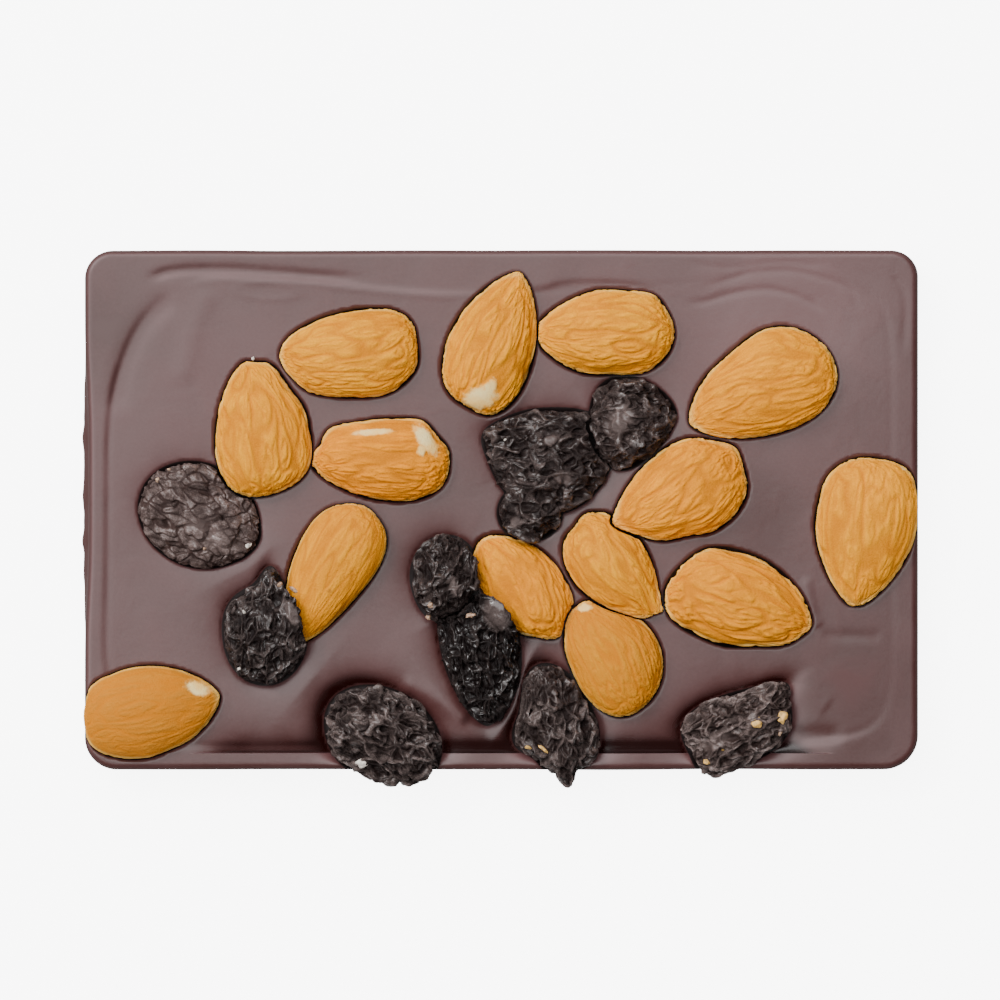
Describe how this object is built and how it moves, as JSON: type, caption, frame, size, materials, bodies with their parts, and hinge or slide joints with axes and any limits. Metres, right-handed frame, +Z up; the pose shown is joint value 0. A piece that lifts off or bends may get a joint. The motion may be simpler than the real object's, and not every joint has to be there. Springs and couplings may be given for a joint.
{
  "type": "chocolate bark",
  "caption": "Rectangular slab of dark chocolate bark with a raised rim, set with whole almonds and raisins pressed into its top.",
  "frame": {"origin": "middle of the slab's flat underside", "axes": "+X along the slab's length, +Y across it, away from the edge that the raisins overhang, +Z up, out of the topped face"},
  "size_m": [0.1304, 0.0835, 0.0128],
  "materials": {
    "dark_chocolate": "satin",
    "almond_skin": "matte",
    "raisin_skin": "satin"
  },
  "bodies": {
    "root": {"slab": "dark_chocolate", "almond_01": "almond_skin", "almond_02": "almond_skin", "almond_03": "almond_skin", "almond_04": "almond_skin", "almond_05": "almond_skin", "almond_06": "almond_skin", "almond_07": "almond_skin", "almond_08": "almond_skin", "almond_09": "almond_skin", "almond_10": "almond_skin", "almond_11": "almond_skin", "almond_12": "almond_skin", "almond_13": "almond_skin", "almond_14": "almond_skin", "raisin_01": "raisin_skin", "raisin_02": "raisin_skin", "raisin_03": "raisin_skin", "raisin_04": "raisin_skin", "raisin_05": "raisin_skin", "raisin_06": "raisin_skin", "raisin_07": "raisin_skin", "raisin_08": "raisin_skin", "raisin_09": "raisin_skin"}
  },
  "joints": []
}
